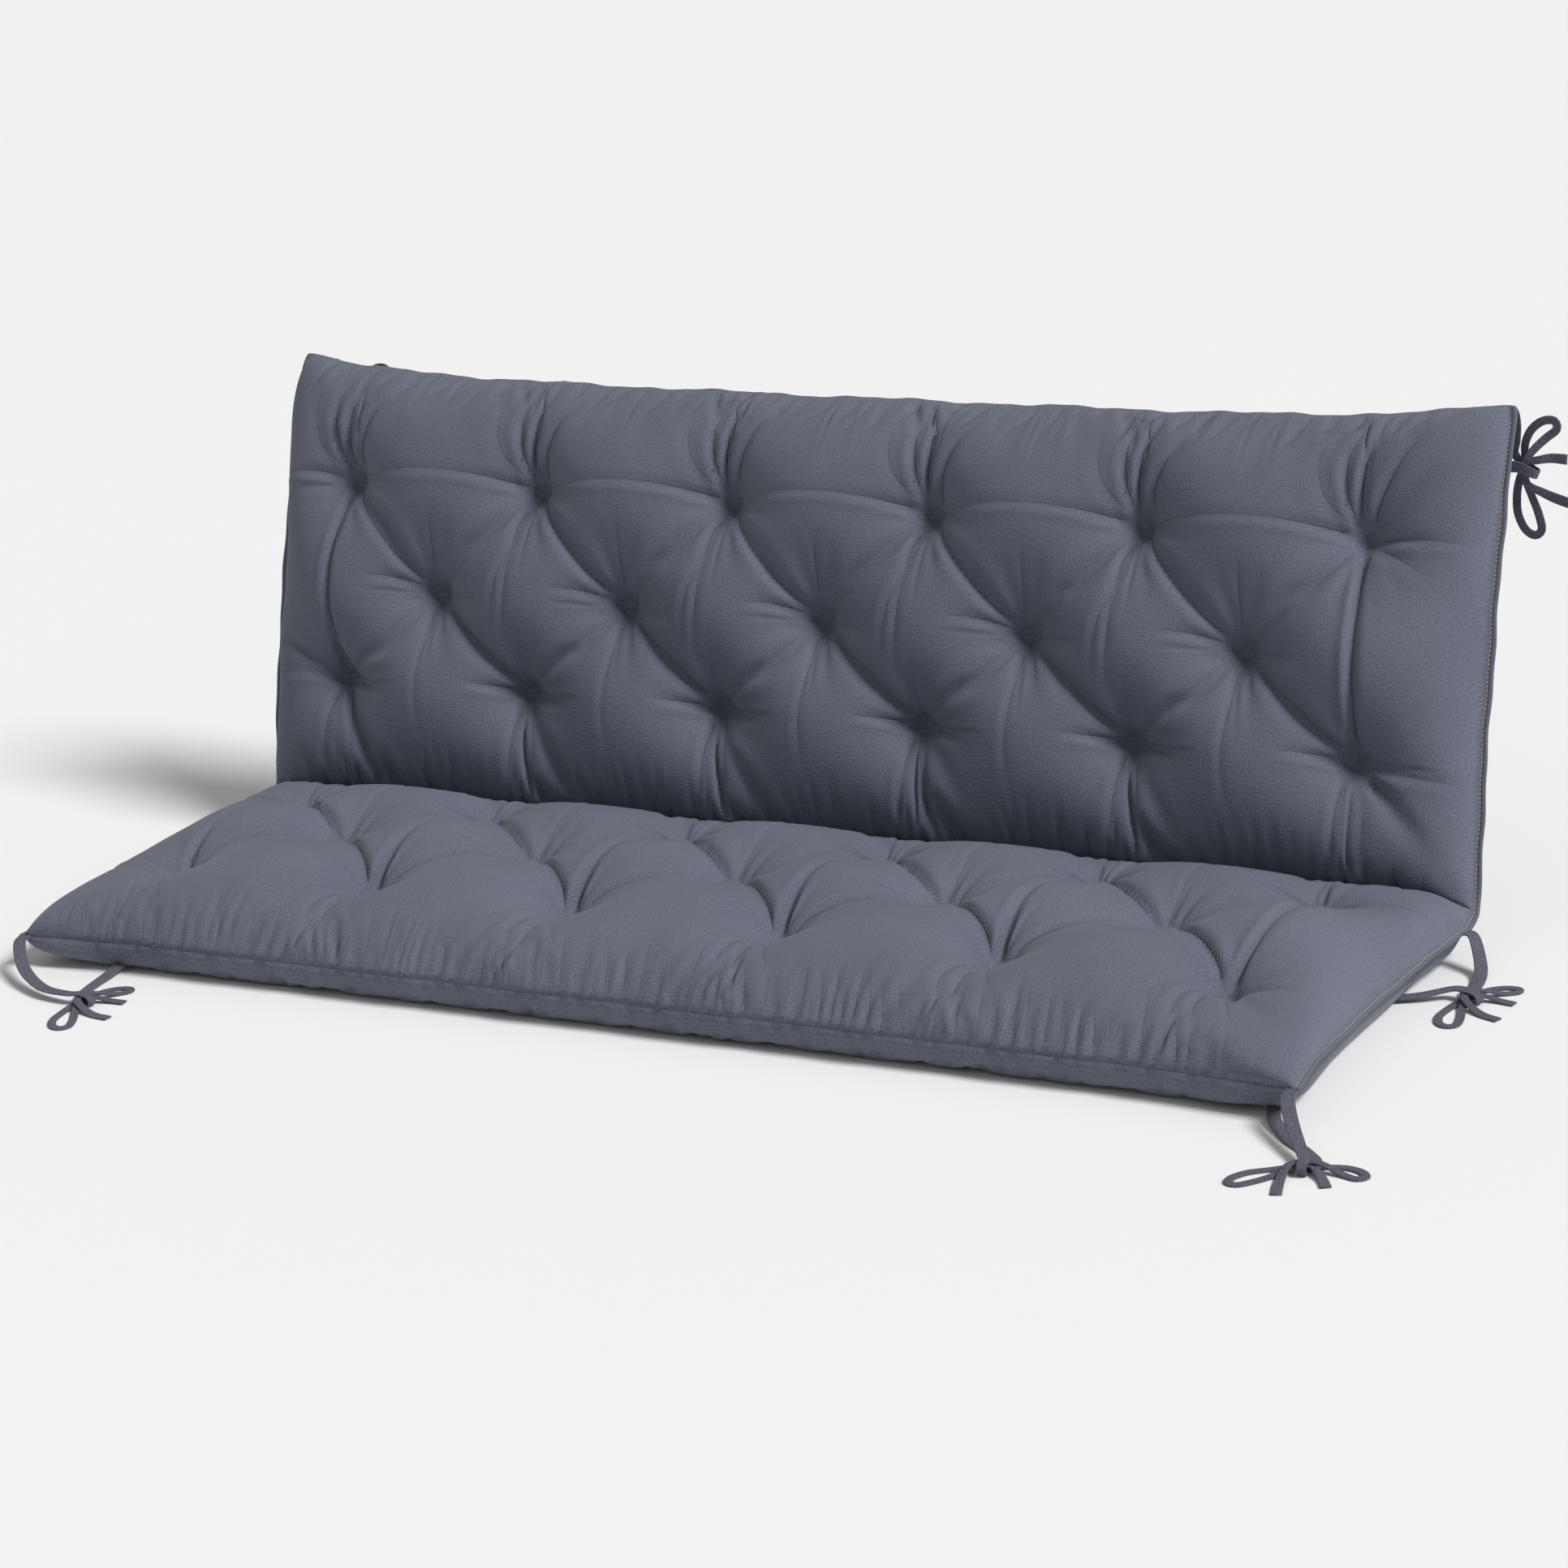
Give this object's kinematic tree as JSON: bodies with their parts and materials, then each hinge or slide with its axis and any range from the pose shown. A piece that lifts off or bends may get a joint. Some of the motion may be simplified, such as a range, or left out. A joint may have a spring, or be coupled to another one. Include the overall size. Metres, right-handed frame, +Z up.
{
  "type": "bench cushion",
  "caption": "Tufted bench cushion in one piece: a filled seat pad folding up into a back pad, with knotted tying tapes at its corners and at the fold.",
  "frame": {"origin": "the middle of the pad's outline on the surface it rests on", "axes": "+X along the bench, to the sitter's left as they sit, +Y towards the back pad, +Z up"},
  "size_m": [1.6411, 0.8532, 0.5487],
  "materials": {
    "cushion_cloth": "matt slate blue-grey woven canvas",
    "tape_cloth": "matt dark slate twill tape"
  },
  "bodies": {
    "root": {"pad": "cushion_cloth", "tape_front_left_over": "tape_cloth", "tape_front_left_under": "tape_cloth", "tape_front_right_over": "tape_cloth", "tape_front_right_under": "tape_cloth", "tape_fold_right_over": "tape_cloth", "tape_fold_right_under": "tape_cloth", "tape_fold_left_over": "tape_cloth", "tape_fold_left_under": "tape_cloth", "tape_top_right_over": "tape_cloth", "tape_top_right_under": "tape_cloth", "tape_top_left_over": "tape_cloth", "tape_top_left_under": "tape_cloth"}
  },
  "joints": []
}
